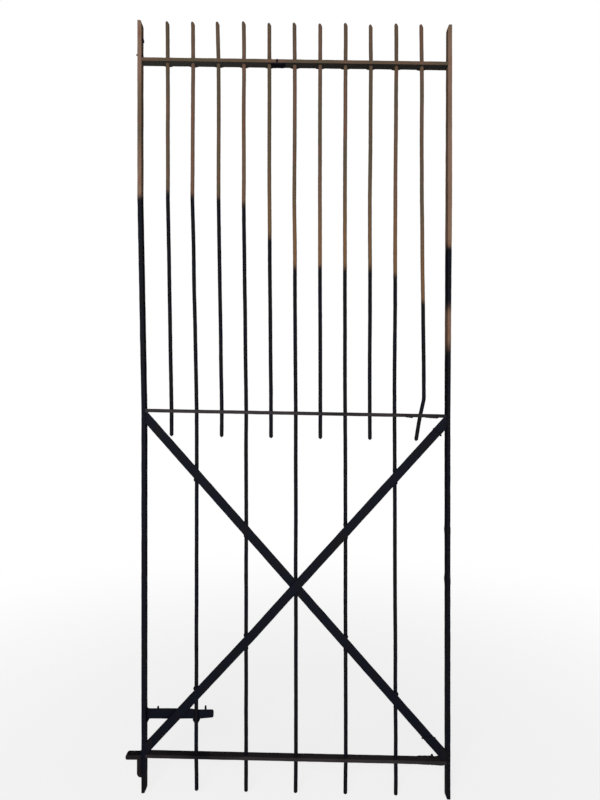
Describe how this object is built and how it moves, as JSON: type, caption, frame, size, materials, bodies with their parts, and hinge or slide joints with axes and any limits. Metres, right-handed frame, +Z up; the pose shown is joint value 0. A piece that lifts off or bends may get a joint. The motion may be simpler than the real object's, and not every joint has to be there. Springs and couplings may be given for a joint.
{
  "type": "garden gate leaf",
  "caption": "Tall narrow wrought-iron garden gate leaf: flat-bar frame, pierced rails, long and short round bars, crossed braces below and a heel eye that turns on a hinge pin.",
  "frame": {"origin": "on the hinge axis, at the underside of the heel eye, where it sits on its hinge pin", "axes": "+X from the hinge side across to the latch side, +Y from the front to the back, +Z up along the hinge axis"},
  "size_m": [0.9835, 0.0371, 2.3459],
  "materials": {
    "stile_iron": "black paint worn to brown rust above, rough",
    "bar_iron": "bare brown rust above, old black paint below, pitted",
    "top_rail_iron": "bare brown rust with a golden tint, rough",
    "low_rail_iron": "old black paint, rubbed and dusty",
    "brace_iron": "black paint over pitted flat bar, satin",
    "eye_iron": "black paint with maroon rust on the leg",
    "strap_iron": "black paint, satin",
    "fixing_iron": "dark rust",
    "weld_metal": "painted weld, lumpy"
  },
  "bodies": {
    "root": {"bent_short_bar": "bar_iron", "bottom_rail": "low_rail_iron", "bottom_rail_welds": "weld_metal", "brace_bar_welds": "weld_metal", "brace_end_welds": "weld_metal", "brace_splice_welds": "weld_metal", "cross_strap": "strap_iron", "falling_brace": "brace_iron", "falling_brace_stub": "brace_iron", "heel_eye": "eye_iron", "heel_eye_welds": "weld_metal", "heel_stile": "stile_iron", "latch_stile": "stile_iron", "long_bar_1": "bar_iron", "long_bar_2": "bar_iron", "long_bar_3": "bar_iron", "long_bar_4": "bar_iron", "long_bar_5": "bar_iron", "mid_rail": "low_rail_iron", "mid_rail_drips": "weld_metal", "rising_brace": "brace_iron", "rising_brace_stub": "brace_iron", "short_bar_1": "bar_iron", "short_bar_2": "bar_iron", "short_bar_3": "bar_iron", "short_bar_4": "bar_iron", "short_bar_5": "bar_iron", "stile_peg": "fixing_iron", "stile_rivet": "fixing_iron", "strap_pin_left": "strap_iron", "strap_pin_right": "strap_iron", "strap_welds": "weld_metal", "top_rail": "top_rail_iron", "top_rail_welds": "weld_metal"}
  },
  "joints": []
}
